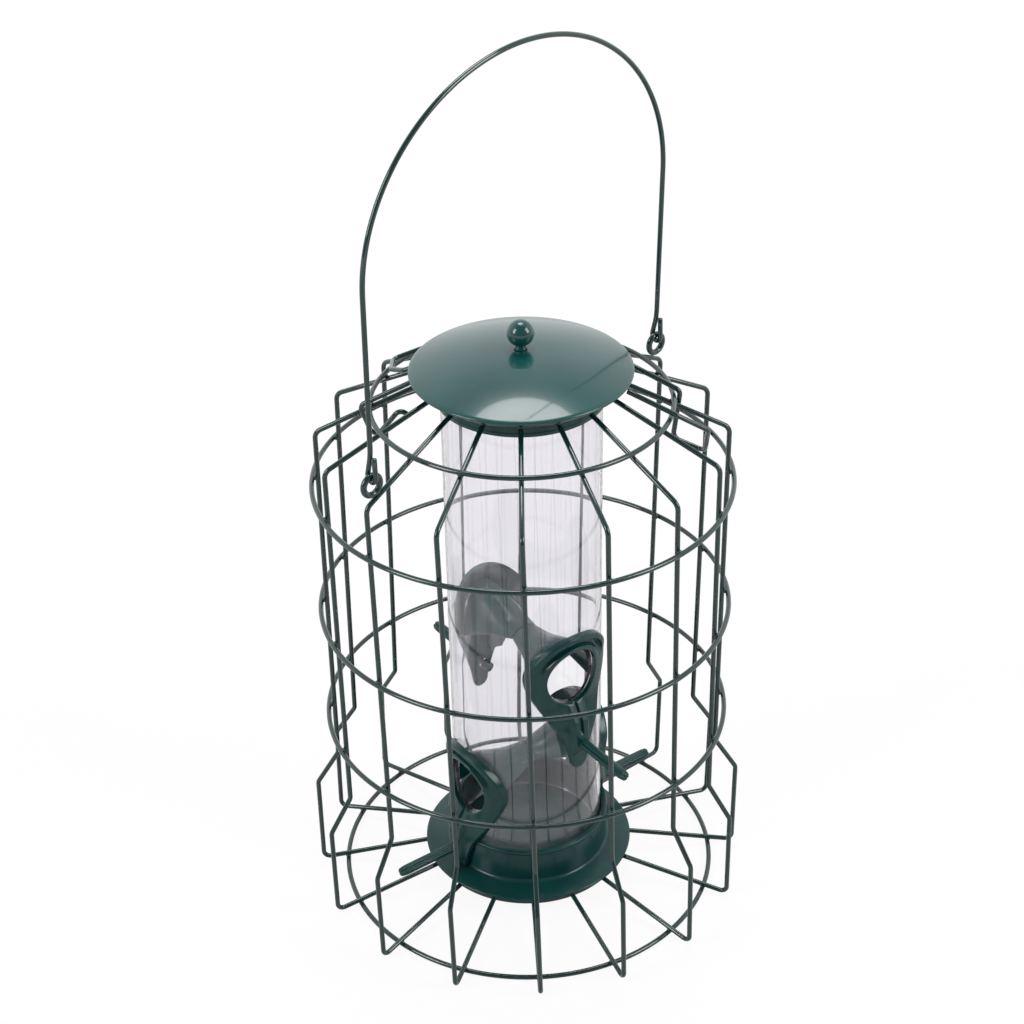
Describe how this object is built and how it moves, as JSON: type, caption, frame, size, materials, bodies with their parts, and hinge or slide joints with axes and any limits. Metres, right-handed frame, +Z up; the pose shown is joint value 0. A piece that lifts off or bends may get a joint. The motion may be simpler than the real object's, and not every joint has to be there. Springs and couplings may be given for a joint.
{
  "type": "caged tube bird feeder",
  "caption": "Clear seed tube with hooded feeding ports and perches inside a squirrel-proof cage of bent wires, with a domed lift-off lid, wire latches, a round base dish and a hinged wire bail.",
  "frame": {"origin": "on the ground under the tube's axis, at the centre of the base hoop", "axes": "+Z up along the seed tube; -Y is the front, the side that the picture looks at; +X is to the right"},
  "size_m": [0.1984, 0.1984, 0.4043],
  "materials": {
    "green_wire": "glossy dark green coated steel wire",
    "green_enamel": "glossy dark green painted sheet metal",
    "green_plastic": "smooth dark green moulded plastic",
    "clear_tube": "clear polished plastic"
  },
  "bodies": {
    "feeder": {"cage_wire_01": "green_wire", "cage_wire_02": "green_wire", "cage_wire_03": "green_wire", "cage_wire_04": "green_wire", "cage_wire_05": "green_wire", "cage_wire_06": "green_wire", "cage_wire_07": "green_wire", "cage_wire_08": "green_wire", "cage_wire_09": "green_wire", "cage_wire_10": "green_wire", "cage_wire_11": "green_wire", "cage_wire_12": "green_wire", "cage_wire_13": "green_wire", "cage_wire_14": "green_wire", "cage_wire_15": "green_wire", "cage_wire_16": "green_wire", "crown_ring": "green_wire", "shoulder_hoop": "green_wire", "middle_hoop_1": "green_wire", "middle_hoop_2": "green_wire", "middle_hoop_3": "green_wire", "base_hoop": "green_wire", "dish_ring": "green_wire", "bail_eye_left": "green_wire", "bail_eye_right": "green_wire", "tube_collar": "green_plastic", "seed_tube": "clear_tube", "base_dish": "green_plastic", "port_upper_back": "green_plastic", "port_upper_front": "green_plastic", "port_lower_front": "green_plastic", "port_lower_back": "green_plastic", "perch_upper_back": "green_plastic", "perch_upper_front": "green_plastic", "perch_lower_front": "green_plastic", "perch_lower_back": "green_plastic", "baffle_upper_back": "green_plastic", "baffle_upper_front": "green_plastic", "baffle_lower_front": "green_plastic", "baffle_lower_back": "green_plastic"},
    "lid": {"lid_dome": "green_enamel", "lid_plug": "green_plastic", "lid_knob": "green_enamel"},
    "bail": {"bail": "green_wire"},
    "tab_latch": {"latch_tab": "green_wire"},
    "hook_latch": {"latch_hook": "green_wire"}
  },
  "joints": [
    {"name": "lid_lift", "type": "slide", "parent": "feeder", "child": "lid", "axis": [0, 0, 1], "range_m": [0, 0.08]},
    {"name": "bail_swing", "type": "hinge", "parent": "feeder", "child": "bail", "pos_m": [0, 0, 0.24737], "axis": [-0.7132, -0.7009, 0], "range_deg": [-90, 90]},
    {"name": "tab_slide", "type": "slide", "parent": "feeder", "child": "tab_latch", "axis": [0.9272, 0, -0.3746], "range_m": [0, 0.006]},
    {"name": "hook_slide", "type": "slide", "parent": "feeder", "child": "hook_latch", "axis": [-0.9272, 0, -0.3746], "range_m": [0, 0.006]}
  ]
}
